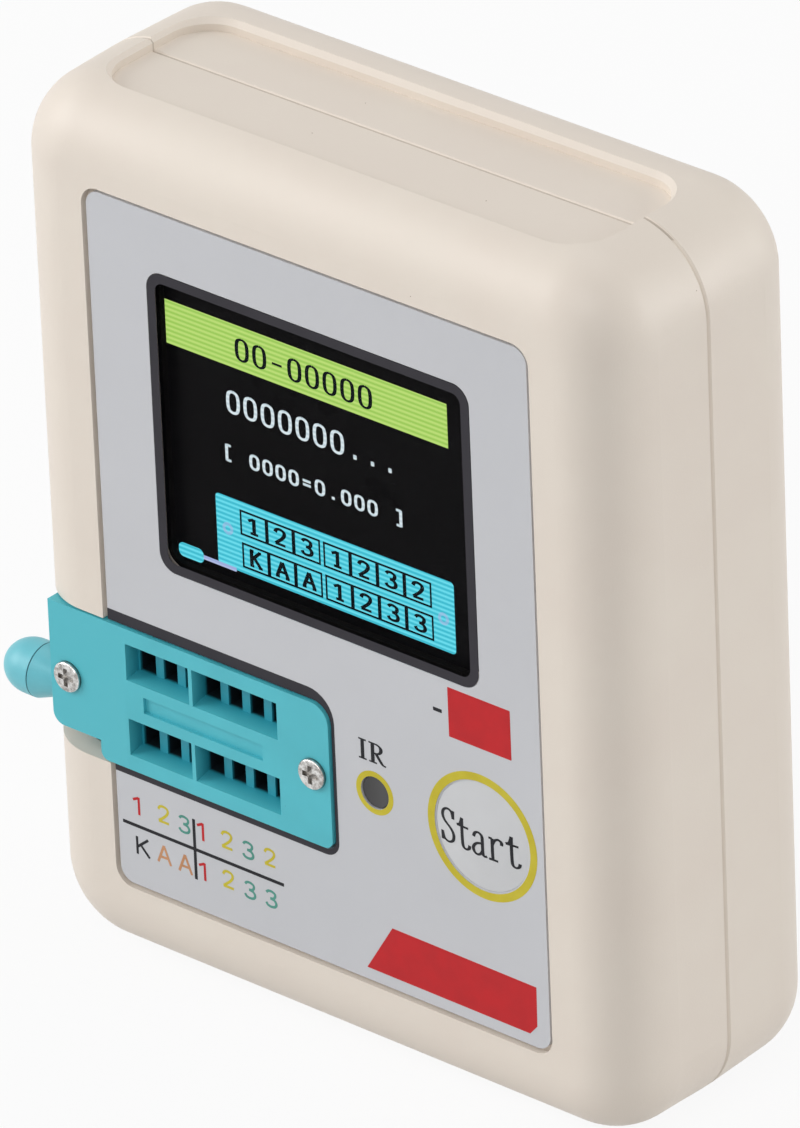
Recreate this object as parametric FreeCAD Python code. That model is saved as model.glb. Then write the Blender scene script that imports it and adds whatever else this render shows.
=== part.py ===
import FreeCAD, Part
import math
import os

from FreeCAD import Vector

# Bench tester for electronic components, standing on its lower end.
# Millimetres. X runs to the right, Y from the front to the back, Z up.
# The solids are drawn about the middle of the case and then shifted, so that the origin
# is the middle of the whole object seen from above, at the level that it stands on.

# Case
case_width = 70.0
case_height = 87.0
case_depth = 26.4
front_shell_depth = 12.7
side_draft = 2.2
corner_radius = 8.0
front_edge_radius = 6.5
back_edge_radius = 6.0
wall = 2.2
front_wall = 2.4
back_wall = 2.2
seam_chamfer = 0.25

# Grip recess in the two ends of the case
end_recess_side = 7.2
end_recess_front = 4.8
end_recess_back = 19.3
end_recess_depth = 1.2
end_recess_radius = 4.0
end_recess_bevel = 0.5

# Printed front overlay and the recess that it is glued into
overlay_side_margin = 9.9
overlay_end_margin = 8.7
overlay_thickness = 0.6
overlay_radius = 1.5
overlay_gap = 0.4
overlay_recess = 0.8

# Screen
picture_width = 35.0
picture_height = 28.0
picture_border = 0.9
window_radius = 1.8
window_below_top = 14.55
window_clearance = 0.05
window_ledge = 0.4
ledge_thickness = 0.5
panel_margin = 3.0
panel_ribbon_margin = 7.8
panel_thickness = 1.2
panel_clearance = 0.15
backlight_thickness = 1.6
backlight_lip = 0.6
backlight_rim = 3.0
ribbon_width = 14.0
ribbon_thickness = 0.2
ribbon_bulge = 2.6
foam_width = 6.0

# Main board
board_clearance = 1.5
board_thickness = 1.6
board_front = 10.2
board_corner = 3.0
board_boss_diameter = 5.0
board_boss_side = 14.0
board_boss_inset = 7.5
board_boss_clearance = 0.4
board_screw_diameter = 2.0
board_screw_head = 3.8
board_screw_head_height = 1.3
board_screw_length = 6.0
screw_hole_clearance = 0.05

# Case screws, driven in from the back
case_screw_side_inset = 10.0
case_screw_end_inset = 8.9
case_boss_diameter = 5.6
case_screw_diameter = 2.6
case_screw_head = 4.8
case_screw_head_height = 1.9
case_screw_length = 13.0
case_screw_seat = 18.4
case_post_wall = 0.9
screw_tip_room = 0.3
counterbore_clearance = 0.2
cross_recess_width = 0.5
cross_recess_share = 0.6
head_rounding_share = 0.5
cross_recess_depth = 0.7

# Test socket
socket_side_inset = 2.9
socket_below_top = 51.9
socket_height = 14.4
socket_tail = 5.97
socket_proud = 0.05
cover_thickness = 4.0
cover_corner_high = 1.9
cover_corner_low = 1.0
cover_corner_left = 1.2
head_length = 5.6
head_step = 1.85
head_step_radius = 0.8
socket_gap = 0.2
slot_pitch = 2.54
slot_count = 7
slots_left_of_divider = 3
slot_row_spacing = 7.62
slot_width = 1.62
first_slot_inset = 10.37
divider_width = 0.42
well_height = 3.7
well_depth = 1.7
well_floor_rise = 0.35
strip_length = 14.0
strip_height = 1.6
strip_depth = 0.35
base_inset = 0.3
base_wall = 1.4
base_floor = 1.0
base_standoff = 0.3
slider_thickness = 1.5
slider_gap = 0.05
slider_tab = 0.8
slider_end = 0.4
slider_window_gap = 0.12
slider_window_height = 2.5
cover_screw_left_inset = 2.1
cover_screw_right_inset = 1.95
cover_screw_head = 3.0
cover_screw_head_height = 0.45
cover_screw_recess = 0.3
cover_screw_diameter = 1.3
cover_screw_length = 7.5
contact_leaf = 0.25
contact_leaf_gap = 0.5
contact_width = 0.9
contact_pin = 0.6
contact_tail = 0.9
contact_tip_below_cover = 0.4
contact_hole_clearance = 0.15

# Lever of the test socket
lever_axis_inset = 4.3
lever_axis_depth = 7.7
lever_rod = 1.8
lever_reach = 16.6
lever_arm_drop = 1.0
lever_room = 0.4
cam_diameter = 2.0
cam_throw = 0.9
cam_clearance = 0.3
lever_bore_clearance = 0.05
knob_diameter = 5.24
knob_length = 7.6
knob_dome = 3.0
knob_seam = 4.25
knob_seam_groove = 0.14
knob_neck = 2.8
knob_socket_depth = 4.6
knob_socket_clearance = 0.02

# Start button and the switch under it
button_beside_ir = 12.35
button_below_ir = 0.1
button_diameter = 10.6
button_gap = 0.15
button_proud = 0.25
button_crown = 0.35
button_flange_lip = 0.9
button_flange_thickness = 0.9
button_stem = 3.4
button_travel = 0.5
button_stop_gap = 0.05
switch_size = 6.0
switch_body_height = 3.5
switch_plunger_diameter = 3.4
switch_plunger_height = 1.5
switch_plunger_gap = 0.1
switch_guide_depth = 1.2

# Infrared receiver
ir_beside_socket = 5.0
ir_above_socket_middle = 0.3
ir_window_diameter = 3.0
ir_hole_gap = 0.1
ir_body_width = 5.4
ir_body_height = 6.6
ir_body_thickness = 3.4
ir_leg_pitch = 1.27
ir_lens_sink = 0.15

# Charging socket
usb_width = 7.5
usb_height = 2.6
usb_length = 5.6
usb_skin = 0.3
usb_opening_gap = 0.35
usb_sink = 0.1
usb_tongue_thickness = 0.7
usb_tongue_width = 5.0

# Battery
battery_width = 30.0
battery_height = 40.0
battery_thickness = 5.2
battery_corner = 1.6
battery_edge = 1.1
battery_above_middle = 8.5
battery_tape_thickness = 0.5
battery_tape_inset = 4.0
lead_diameter = 1.1
lead_spacing = 3.0
lead_bend = 2.6

# Board parts
controller_size = 7.0
controller_height = 1.0
controller_dot = 0.8
controller_dot_inset = 1.0
controller_dot_depth = 0.1
controller_x = 8.0
controller_z = 42.0
charger_length = 4.9
charger_width = 3.9
charger_height = 1.5
charger_x = -7.0
charger_z = 20.0
crystal_length = 11.0
crystal_width = 4.4
crystal_radius = 2.1
crystal_height = 3.4
crystal_x = 19.0
crystal_z = 42.0
capacitor_diameter = 5.0
capacitor_height = 5.4
capacitor_x = 22.0
capacitor_z = 17.0

# How far a cutter runs on past the surface that it opens
past = 1.0

case_middle = case_height / 2
overlay_width = case_width - 2 * overlay_side_margin
overlay_height = case_height - 2 * overlay_end_margin
window_width = picture_width + 2 * picture_border
window_height = picture_height + 2 * picture_border
window_centre = case_height - window_below_top - window_height / 2
panel_left = -picture_width / 2 - panel_margin
panel_right = picture_width / 2 + panel_ribbon_margin
panel_height = picture_height + 2 * panel_margin
panel_low = window_centre - panel_height / 2
board_width = case_width - 2 * (wall + board_clearance)
board_height = case_height - 2 * (wall + board_clearance)
case_screw_side = case_width / 2 - case_screw_side_inset
socket_left = socket_side_inset - case_width / 2
socket_high = case_height - socket_below_top
socket_low = socket_high - socket_height
socket_middle = (socket_low + socket_high) / 2
first_slot = socket_left + first_slot_inset
slot_places = [first_slot + slot_pitch * index for index in range(slot_count)]
slot_rows = (socket_middle - slot_row_spacing / 2, socket_middle + slot_row_spacing / 2)
well_left = slot_places[0] - slot_pitch / 2
well_right = slot_places[-1] + slot_pitch / 2
socket_right = well_right + socket_tail
cover_screw_left = socket_left + cover_screw_left_inset
cover_screw_right = socket_right - cover_screw_right_inset
lever_axis_x = socket_left + lever_axis_inset
slider_travel = cam_throw
ir_x = socket_right + ir_beside_socket
ir_z = socket_middle + ir_above_socket_middle
button_x = ir_x + button_beside_ir
button_z = ir_z - button_below_ir
button_flange = button_diameter + 2 * button_flange_lip
battery_centre = case_middle + battery_above_middle
front_y = -case_depth / 2
back_y = case_depth / 2
seam_y = front_y + front_shell_depth
board_y = front_y + board_front
draft_rate = math.tan(math.radians(side_draft))


def rounded_outline(width, height, radius, y, middle_x=0.0, middle_z=case_middle):
    """Closed rounded rectangle in the plane of the case front, at depth y."""
    left = middle_x - width / 2
    right = middle_x + width / 2
    low = middle_z - height / 2
    high = middle_z + height / 2
    bow = radius * (1 - math.sqrt(0.5))

    def point(x, z):
        return Vector(x, y, z)

    def corner(start, middle, end):
        return Part.Arc(start, middle, end).toShape()

    edges = [
        Part.makeLine(point(left + radius, low), point(right - radius, low)),
        corner(point(right - radius, low), point(right - bow, low + bow), point(right, low + radius)),
        Part.makeLine(point(right, low + radius), point(right, high - radius)),
        corner(point(right, high - radius), point(right - bow, high - bow), point(right - radius, high)),
        Part.makeLine(point(right - radius, high), point(left + radius, high)),
        corner(point(left + radius, high), point(left + bow, high - bow), point(left, high - radius)),
        Part.makeLine(point(left, high - radius), point(left, low + radius)),
        corner(point(left, low + radius), point(left + bow, low + bow), point(left + radius, low)),
    ]
    return Part.Wire(edges)


def slab(width, height, radius, near, far, middle_x=0.0, middle_z=case_middle):
    """Rounded plate between two depths."""
    face = Part.Face(rounded_outline(width, height, radius, near, middle_x, middle_z))
    return face.extrude(Vector(0, far - near, 0))


def block(left, right, near, far, low, high):
    corner = Vector(left, near, low)
    return Part.makeBox(right - left, far - near, high - low, corner)


def rod_y(x, z, diameter, near, far):
    return Part.makeCylinder(diameter / 2, far - near, Vector(x, near, z), Vector(0, 1, 0))


def rod_z(x, y, diameter, low, high):
    return Part.makeCylinder(diameter / 2, high - low, Vector(x, y, low), Vector(0, 0, 1))


def edges_at_depth(shape, y):
    found = []
    for edge in shape.Edges:
        box = edge.BoundBox
        if abs(box.YMin - y) < 1e-6 and abs(box.YMax - y) < 1e-6:
            found.append(edge)
    return found


def drafted_body(inset, seam, end, end_radius):
    """Solid of one case half: its two long sides lean in from the seam, and its outer edge is rounded."""
    reach = abs(end - seam)
    narrowing = 2 * reach * draft_rate
    width = case_width - 2 * inset
    height = case_height - 2 * inset
    radius = corner_radius - inset
    seam_outline = rounded_outline(width, height, radius, seam)
    end_outline = rounded_outline(width - narrowing, height, radius, seam + reach)
    faces = [Part.Face(seam_outline), Part.Face(end_outline)]
    for near, far in zip(seam_outline.OrderedEdges, end_outline.OrderedEdges):
        if isinstance(near.Curve, Part.Line):
            corners = [near.firstVertex(True).Point, near.lastVertex(True).Point,
                       far.lastVertex(True).Point, far.firstVertex(True).Point]
            faces.append(Part.Face(Part.makePolygon(corners + corners[:1])))
        else:
            faces.append(Part.makeRuledSurface(near, far))
    shell = Part.makeShell(faces)
    shell.sewShape()
    body = Part.makeSolid(shell)
    body = body.makeFillet(end_radius, edges_at_depth(body, seam + reach))
    if end < seam:
        body = body.mirror(Vector(0, seam, 0), Vector(0, 1, 0))
    return body


def end_recess(high_end):
    """Cutter for the shallow recess in one end of the case, with a bevelled rim."""
    length = case_width - 2 * end_recess_side
    depth = end_recess_back - end_recess_front
    middle_y = front_y + (end_recess_front + end_recess_back) / 2
    floor = end_recess_depth
    outside = -end_recess_bevel

    def outline(grow, z):
        wire = rounded_outline(length + 2 * grow, depth + 2 * grow, end_recess_radius + grow, 0.0, 0.0, 0.0)
        wire.rotate(Vector(0, 0, 0), Vector(1, 0, 0), -90)
        wire.translate(Vector(0, middle_y, z))
        return wire

    steps = [outline(2 * end_recess_bevel, outside), outline(0.0, end_recess_bevel), outline(0.0, floor)]
    cutter = Part.makeLoft(steps, True, True)
    if high_end:
        cutter = cutter.mirror(Vector(0, 0, case_middle), Vector(0, 0, 1))
    return cutter


def case_screw_places():
    places = []
    for side in (-1, 1):
        for rise in (-1, 1):
            places.append((side * case_screw_side, case_middle + rise * (case_middle - case_screw_end_inset)))
    return places


def board_screw_places():
    heights = (board_boss_inset, case_height - board_boss_inset)
    return [(side * board_boss_side, z) for side in (-1, 1) for z in heights]


def cross_recess(x, z, y, length, depth):
    """Two crossed slots sunk into a screw head; a negative depth runs towards the front."""
    near = min(y, y + depth)
    far = max(y, y + depth)
    half = length / 2
    thin = cross_recess_width / 2
    flat = block(x - half, x + half, near, far, z - thin, z + thin)
    upright = block(x - thin, x + thin, near, far, z - half, z + half)
    return flat.fuse(upright)


# Places that several pieces share
overlay_y = front_y + overlay_recess - overlay_thickness
recess_y = front_y + overlay_recess
ledge_back = recess_y + ledge_thickness
panel_y = ledge_back + panel_clearance
panel_back = panel_y + panel_thickness
backlight_back = panel_back + backlight_thickness
cover_y = front_y - socket_proud
cover_back = cover_y + cover_thickness
base_back = board_y - base_standoff
lever_y = front_y + lever_axis_depth
head_right = socket_left + head_length
head_low = socket_low + head_step
arm_z = head_low - lever_arm_drop
switch_top_y = board_y - switch_body_height
plunger_tip_y = switch_top_y - switch_plunger_height
board_back_y = board_y + board_thickness
usb_low = end_recess_depth + usb_sink
back_floor_y = back_y - back_wall
battery_back_y = back_floor_y - battery_tape_thickness
battery_front_y = battery_back_y - battery_thickness
end_recess_cutters = [end_recess(False), end_recess(True)]


def socket_outline(near, far, grow=0.0):
    """Plan of the test socket: a plate with a narrower head at its lever end."""
    left = socket_left - grow
    right = socket_right + grow
    low = socket_low - grow
    high = socket_high + grow
    step_x = head_right - grow
    step_z = head_low - grow
    points = [(left, step_z), (step_x, step_z), (step_x, low), (right, low), (right, high), (left, high)]
    corners = [Vector(x, near, z) for x, z in points]
    face = Part.Face(Part.makePolygon(corners + corners[:1]))
    return face.extrude(Vector(0, far - near, 0))


def upright_edges(shape, x, z):
    found = []
    for edge in shape.Edges:
        box = edge.BoundBox
        on_line = abs(box.XMin - x) + abs(box.XMax - x) + abs(box.ZMin - z) + abs(box.ZMax - z) < 1e-6
        if on_line:
            found.append(edge)
    return found


def socket_opening(near, far):
    """Cutter for the test socket, open towards the left side and rounded at its right end."""
    right = socket_right + socket_gap
    low = socket_low - socket_gap
    high = socket_high + socket_gap
    room = block(-case_width, right, near, far, low, high)
    for z, radius in ((low, cover_corner_low), (high, cover_corner_high)):
        room = room.makeFillet(radius + socket_gap, upright_edges(room, right, z))
    return room


def chamfer_recess_seam(shell):
    """Breaks the edge where the seam crosses the floor of each end recess."""
    floors = (end_recess_depth, case_height - end_recess_depth)
    edges = []
    for edge in edges_at_depth(shell, seam_y):
        box = edge.BoundBox
        for z in floors:
            if abs(box.ZMin - z) < 1e-6 and abs(box.ZMax - z) < 1e-6:
                edges.append(edge)
    return shell.makeChamfer(seam_chamfer, edges)


def make_front_shell():
    outer = drafted_body(0.0, seam_y, front_y, front_edge_radius)
    outer = outer.makeChamfer(seam_chamfer, edges_at_depth(outer, seam_y))
    inner = drafted_body(wall, seam_y, front_y + front_wall, front_edge_radius - front_wall)
    shell = outer.cut(inner)
    bosses = []
    for x, z in case_screw_places():
        bosses.append(rod_y(x, z, case_boss_diameter, front_y + front_wall, seam_y))
    for x, z in board_screw_places():
        bosses.append(rod_y(x, z, board_boss_diameter, front_y + front_wall, board_y))
    shell = shell.fuse(bosses)
    cuts = list(end_recess_cutters)
    gap = 2 * overlay_gap
    recess_radius = overlay_radius + overlay_gap
    cuts.append(slab(overlay_width + gap, overlay_height + gap, recess_radius, front_y - past, recess_y))
    opening_width = window_width - 2 * window_ledge
    opening_height = window_height - 2 * window_ledge
    cuts.append(slab(opening_width, opening_height, window_radius, front_y - past, panel_y,
                     0.0, window_centre))
    room = 2 * panel_clearance
    cuts.append(block(panel_left - room, panel_right + room, ledge_back, front_y + front_wall + past,
                      panel_low - room, panel_low + panel_height + room))
    cuts.append(socket_opening(front_y - past, lever_y + lever_rod / 2 + lever_room))
    button_hole = button_diameter + 2 * button_gap
    cuts.append(rod_y(button_x, button_z, button_hole, front_y - past, front_y + front_wall + past))
    ir_hole = ir_window_diameter + 2 * ir_hole_gap
    cuts.append(rod_y(ir_x, ir_z, ir_hole, front_y - past, front_y + front_wall + past))
    for x, z in case_screw_places():
        hole = case_screw_diameter + 2 * screw_hole_clearance
        tip = front_y + case_screw_seat - case_screw_length - screw_tip_room
        cuts.append(rod_y(x, z, hole, tip, seam_y + past))
    for x, z in board_screw_places():
        hole = board_screw_diameter + 2 * screw_hole_clearance
        cuts.append(rod_y(x, z, hole, board_y - board_screw_length - screw_tip_room, board_y + past))
    cuts.append(usb_opening())
    return chamfer_recess_seam(shell.cut(cuts))


def usb_opening():
    middle_y = board_back_y + usb_height / 2
    half_width = usb_width / 2 + usb_opening_gap
    half_height = usb_height / 2 + usb_opening_gap
    return block(-half_width, half_width, middle_y - half_height, middle_y + half_height,
                 -past, usb_low + usb_length)


def make_rear_shell():
    outer = drafted_body(0.0, seam_y, back_y, back_edge_radius)
    outer = outer.makeChamfer(seam_chamfer, edges_at_depth(outer, seam_y))
    inner = drafted_body(wall, seam_y, back_floor_y, back_edge_radius - back_wall)
    shell = outer.cut(inner)
    posts = []
    for x, z in case_screw_places():
        posts.append(rod_y(x, z, case_screw_head + 2 * counterbore_clearance + 2 * case_post_wall,
                           seam_y + case_screw_head_height, back_floor_y))
        posts.append(rod_y(x, z, case_boss_diameter, seam_y, back_floor_y))
    shell = shell.fuse(posts)
    cuts = list(end_recess_cutters)
    for x, z in case_screw_places():
        shank = case_screw_diameter + 2 * screw_hole_clearance
        head = case_screw_head + 2 * counterbore_clearance
        cuts.append(rod_y(x, z, shank, seam_y - past, back_y + past))
        cuts.append(rod_y(x, z, head, front_y + case_screw_seat, back_y + past))
    cuts.append(usb_opening())
    return chamfer_recess_seam(shell.cut(cuts))


def make_front_overlay():
    sheet = slab(overlay_width, overlay_height, overlay_radius, overlay_y, recess_y)
    room = 2 * window_clearance
    window = slab(window_width + room, window_height + room, window_radius + window_clearance,
                  overlay_y - past, recess_y + past, 0.0, window_centre)
    socket_hole = socket_opening(overlay_y - past, recess_y + past)
    button_hole = rod_y(button_x, button_z, button_diameter + 2 * button_gap,
                        overlay_y - past, recess_y + past)
    ir_hole = rod_y(ir_x, ir_z, ir_window_diameter + 2 * ir_hole_gap, overlay_y - past, recess_y + past)
    return sheet.cut([window, socket_hole, button_hole, ir_hole])


def make_screen_window():
    return slab(window_width, window_height, window_radius, overlay_y, recess_y, 0.0, window_centre)


def make_screen_gasket():
    opening_width = window_width - 2 * window_ledge - 2 * window_clearance
    opening_height = window_height - 2 * window_ledge - 2 * window_clearance
    ring = slab(opening_width, opening_height, window_radius, recess_y, panel_y, 0.0, window_centre)
    hole_radius = window_radius - (opening_width - picture_width) / 2
    hole = slab(picture_width, picture_height, hole_radius, recess_y - past, panel_y + past,
                0.0, window_centre)
    return ring.cut(hole)


def make_lcd_panel():
    return block(panel_left, panel_right, panel_y, panel_back, panel_low, panel_low + panel_height)


def make_lcd_backlight():
    """Tray that holds the light guide, with a low rim round the back of the glass."""
    panel_high = panel_low + panel_height
    tray = block(panel_left, panel_right, panel_back, backlight_back, panel_low, panel_high)
    hollow = block(panel_left + backlight_rim, panel_right - backlight_rim, backlight_back - backlight_lip,
                   backlight_back + past, panel_low + backlight_rim, panel_high - backlight_rim)
    return tray.cut(hollow)


def make_screen_foam():
    """Two foam strips that press the screen forward off the board."""
    strips = []
    for left in (panel_left, panel_right - foam_width):
        strip = block(left, left + foam_width, backlight_back, board_y, panel_low, panel_low + panel_height)
        strips.append(strip)
    return Part.makeCompound(strips)


def make_screen_ribbon():
    """Flat ribbon that leaves the right edge of the glass and curls round to the board."""
    start = Vector(panel_right, panel_back - ribbon_thickness, 0)
    end = Vector(panel_right, board_y - ribbon_thickness, 0)
    bulge = Vector(panel_right + ribbon_bulge, (start.y + end.y) / 2, 0)
    outer_bulge = bulge.add(Vector(ribbon_thickness, 0, 0))
    outer_start = start.add(Vector(0, ribbon_thickness, 0))
    outer_end = end.add(Vector(0, ribbon_thickness, 0))
    inner_arc = Part.Arc(outer_start, bulge, end).toShape()
    outer_arc = Part.Arc(start, outer_bulge, outer_end).toShape()
    edges = [inner_arc, Part.makeLine(end, outer_end), outer_arc, Part.makeLine(start, outer_start)]
    face = Part.Face(Part.Wire(Part.__sortEdges__(edges)))
    ribbon = face.extrude(Vector(0, 0, ribbon_width))
    ribbon.translate(Vector(0, 0, window_centre - ribbon_width / 2))
    return ribbon


def make_main_board():
    board = slab(board_width, board_height, board_corner, board_y, board_back_y)
    cuts = []
    for x, z in case_screw_places():
        hole = case_boss_diameter + 2 * board_boss_clearance
        cuts.append(rod_y(x, z, hole, board_y - past, board_back_y + past))
    for x, z in board_screw_places():
        hole = board_screw_diameter + 2 * screw_hole_clearance
        cuts.append(rod_y(x, z, hole, board_y - past, board_back_y + past))
    for x in slot_places:
        for z in slot_rows:
            half = contact_pin / 2 + contact_hole_clearance
            cuts.append(block(x - half, x + half, board_y - past, board_back_y + past, z - half, z + half))
    return board.cut(cuts)


def make_microcontroller():
    half = controller_size / 2
    chip = block(controller_x - half, controller_x + half, board_back_y, board_back_y + controller_height,
                 controller_z - half, controller_z + half)
    corner = half - controller_dot_inset
    top = board_back_y + controller_height
    pin_one = rod_y(controller_x - corner, controller_z + corner, controller_dot, top - controller_dot_depth,
                    top + past)
    return chip.cut(pin_one)


def make_board_components():
    charger = block(charger_x - charger_length / 2, charger_x + charger_length / 2,
                    board_back_y, board_back_y + charger_height,
                    charger_z - charger_width / 2, charger_z + charger_width / 2)
    crystal = slab(crystal_length, crystal_width, crystal_radius, board_back_y,
                   board_back_y + crystal_height, crystal_x, crystal_z)
    capacitor = rod_y(capacitor_x, capacitor_z, capacitor_diameter, board_back_y,
                      board_back_y + capacitor_height)
    return Part.makeCompound([charger, crystal, capacitor])


def make_usb_socket():
    """Folded sheet-metal shell with its tongue, open towards the lower end."""
    half = usb_width / 2
    near = board_back_y
    far = near + usb_height
    shell = block(-half, half, near, far, usb_low, usb_low + usb_length)
    mouth = block(-half + usb_skin, half - usb_skin, near + usb_skin, far - usb_skin,
                  usb_low - past, usb_low + usb_length - usb_skin)
    tongue_y = near + usb_height / 2
    tongue = block(-usb_tongue_width / 2, usb_tongue_width / 2, tongue_y - usb_tongue_thickness / 2,
                   tongue_y + usb_tongue_thickness / 2, usb_low + usb_skin, usb_low + usb_length)
    return shell.cut(mouth).fuse(tongue)


def make_tact_switch():
    half = switch_size / 2
    body = block(button_x - half, button_x + half, switch_top_y, board_y, button_z - half, button_z + half)
    guide = switch_plunger_diameter + 2 * switch_plunger_gap
    return body.cut(rod_y(button_x, button_z, guide, switch_top_y - past, switch_top_y + switch_guide_depth))


def make_switch_plunger():
    foot = switch_top_y + switch_guide_depth - button_travel - switch_plunger_gap
    return rod_y(button_x, button_z, switch_plunger_diameter, plunger_tip_y, foot)


def make_start_button():
    """Cap with a slightly crowned face, a flange behind the front wall and a stem to the switch."""
    face_y = overlay_y - button_proud
    flange_y = front_y + front_wall + button_stop_gap
    flange_back = flange_y + button_flange_thickness
    radius = button_diameter / 2
    top = Vector(0, face_y, 0)
    middle = Vector(radius / 2, face_y + button_crown / 4, 0)
    rim = Vector(radius, face_y + button_crown, 0)
    corners = [rim, Vector(radius, flange_y, 0), Vector(button_flange / 2, flange_y, 0),
               Vector(button_flange / 2, flange_back, 0), Vector(0, flange_back, 0), top]
    edges = [Part.Arc(top, middle, rim).toShape()]
    for start, end in zip(corners[:-1], corners[1:]):
        edges.append(Part.makeLine(start, end))
    profile = Part.Face(Part.Wire(edges))
    cap = profile.revolve(Vector(0, 0, 0), Vector(0, 1, 0), 360)
    cap.translate(Vector(button_x, 0, button_z))
    stem = rod_y(button_x, button_z, button_stem, flange_back, plunger_tip_y)
    return cap.fuse(stem)


def make_ir_receiver():
    """Receiver block on the board, with a stub lens that fills the hole in the front."""
    body_front = front_y + front_wall + ir_hole_gap
    half = ir_body_width / 2
    low = ir_z - ir_body_height / 2
    body_back = body_front + ir_body_thickness
    body = block(ir_x - half, ir_x + half, body_front, body_back, low, low + ir_body_height)
    lens = rod_y(ir_x, ir_z, ir_window_diameter, overlay_y + ir_lens_sink, body_front)
    legs = []
    for step in (-1, 0, 1):
        x = ir_x + step * ir_leg_pitch
        half_leg = contact_pin / 2
        legs.append(block(x - half_leg, x + half_leg, body_back, board_y,
                          ir_z - half_leg, ir_z + half_leg))
    return body.fuse([lens] + legs)


def make_socket_cover():
    """Cover of the test socket: four lead-in wells over fourteen slots, and a bare centre strip."""
    plate = socket_outline(cover_y, cover_back)
    rounds = [(socket_right, socket_high, cover_corner_high), (socket_right, socket_low, cover_corner_low),
              (socket_left, head_low, cover_corner_left), (head_right, socket_low, head_step_radius)]
    for x, z, radius in rounds:
        plate = plate.makeFillet(radius, upright_edges(plate, x, z))
    cuts = []
    divider_x = well_left + slots_left_of_divider * slot_pitch
    spans = [(well_left, divider_x - divider_width / 2), (divider_x + divider_width / 2, well_right)]
    well_back = cover_y + well_depth
    for row in slot_rows:
        high = row + well_height / 2
        low = row - well_height / 2
        profile = [Vector(0, cover_y - past, high), Vector(0, cover_y - past, low), Vector(0, cover_y, low),
                   Vector(0, well_back, low + well_floor_rise), Vector(0, well_back, high)]
        for left, right in spans:
            face = Part.Face(Part.makePolygon(profile + profile[:1]))
            well = face.extrude(Vector(right - left, 0, 0))
            well.translate(Vector(left, 0, 0))
            cuts.append(well)
        for index, x in enumerate(slot_places):
            left = x - slot_width / 2
            if index in (0, slots_left_of_divider):
                left = x - slot_pitch / 2 + divider_width / 2
            cuts.append(block(left, x + slot_width / 2, well_back, cover_back + past,
                              low + well_floor_rise, high))
    strip_middle = (well_left + well_right) / 2
    strip_left = strip_middle - strip_length / 2
    strip_low = socket_middle - strip_height / 2
    cuts.append(block(strip_left, strip_left + strip_length, cover_y - past, cover_y + strip_depth,
                      strip_low, strip_low + strip_height))
    for x in (cover_screw_left, cover_screw_right):
        hole = cover_screw_diameter + 2 * screw_hole_clearance
        cuts.append(rod_y(x, socket_middle, hole, cover_y - past, cover_back + past))
    return plate.cut(cuts)


def make_socket_cover_screws():
    screws = []
    for x in (cover_screw_left, cover_screw_right):
        top = cover_y - cover_screw_head_height
        head = rod_y(x, socket_middle, cover_screw_head, top, cover_y)
        head = head.makeFillet(cover_screw_head_height * head_rounding_share, edges_at_depth(head, top))
        shank = rod_y(x, socket_middle, cover_screw_diameter, cover_y, cover_y + cover_screw_length)
        slots = cross_recess(x, socket_middle, top, cover_screw_head * cross_recess_share, cover_screw_recess)
        screws.append(head.fuse(shank).cut(slots))
    return Part.makeCompound(screws)


slider_y = cover_back + slider_gap
slider_left = lever_axis_x + cam_diameter / 2 + cam_clearance
slider_right = well_right + slider_end
slider_low = slot_rows[0] - well_height / 2
slider_high = slot_rows[1] + well_height / 2
cam_room_left = lever_axis_x - cam_diameter / 2 - cam_clearance
cavity_right = slider_right + slider_travel + slider_gap
cam_low = head_low + base_wall
cam_high = socket_high - base_inset - base_wall


def make_socket_base():
    """Tub that carries the contacts, the slider and the cross shaft of the lever."""
    tub = socket_outline(cover_back, base_back, -base_inset)
    cuts = []
    cuts.append(block(slider_left - slider_gap, cavity_right, cover_back - past, base_back - base_floor,
                      slider_low - slider_gap, slider_high + slider_gap))
    cuts.append(block(cam_room_left, slider_left, cover_back - past, base_back - base_floor,
                      cam_low, cam_high))
    bore = lever_rod + 2 * lever_bore_clearance
    cuts.append(rod_z(lever_axis_x, lever_y, bore, socket_low - past, cam_high + base_wall / 2))
    arm_room = lever_rod / 2 + lever_room
    cuts.append(block(socket_left - past, lever_axis_x + arm_room, cover_back - past, base_back + past,
                      socket_low - past, arm_z + arm_room))
    for x in (cover_screw_left, cover_screw_right):
        hole = cover_screw_diameter + 2 * screw_hole_clearance
        tip = cover_y + cover_screw_length + screw_tip_room
        cuts.append(rod_y(x, socket_middle, hole, cover_back - past, tip))
    for x in slot_places:
        for z in slot_rows:
            half = contact_pin / 2 + screw_hole_clearance
            cuts.append(block(x - half, x + half, base_back - base_floor - past, base_back + past,
                              z - half, z + half))
    feet = []
    for x in (slot_places[0], slot_places[-1]):
        feet.append(rod_y(x, socket_middle, cover_screw_head, base_back, board_y))
    return tub.cut(cuts).fuse(feet)


def make_socket_slider():
    """Sliding plate that spreads the contacts, with a tab that the cam pushes."""
    plate = block(slider_left, slider_right, slider_y, slider_y + slider_thickness, slider_low, slider_high)
    tab_back = base_back - base_floor - slider_gap
    tab = block(slider_left, slider_left + slider_tab, slider_y, tab_back,
                socket_middle - slot_pitch, socket_middle + slot_pitch)
    windows = []
    for x in slot_places:
        for z in slot_rows:
            half = contact_leaf_gap / 2 + contact_leaf + slider_window_gap
            low = z - slider_window_height / 2
            windows.append(block(x - half - slider_travel, x + half, slider_y - past,
                                 slider_y + slider_thickness + past, low, low + slider_window_height))
    return plate.fuse(tab).cut(windows)


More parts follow.
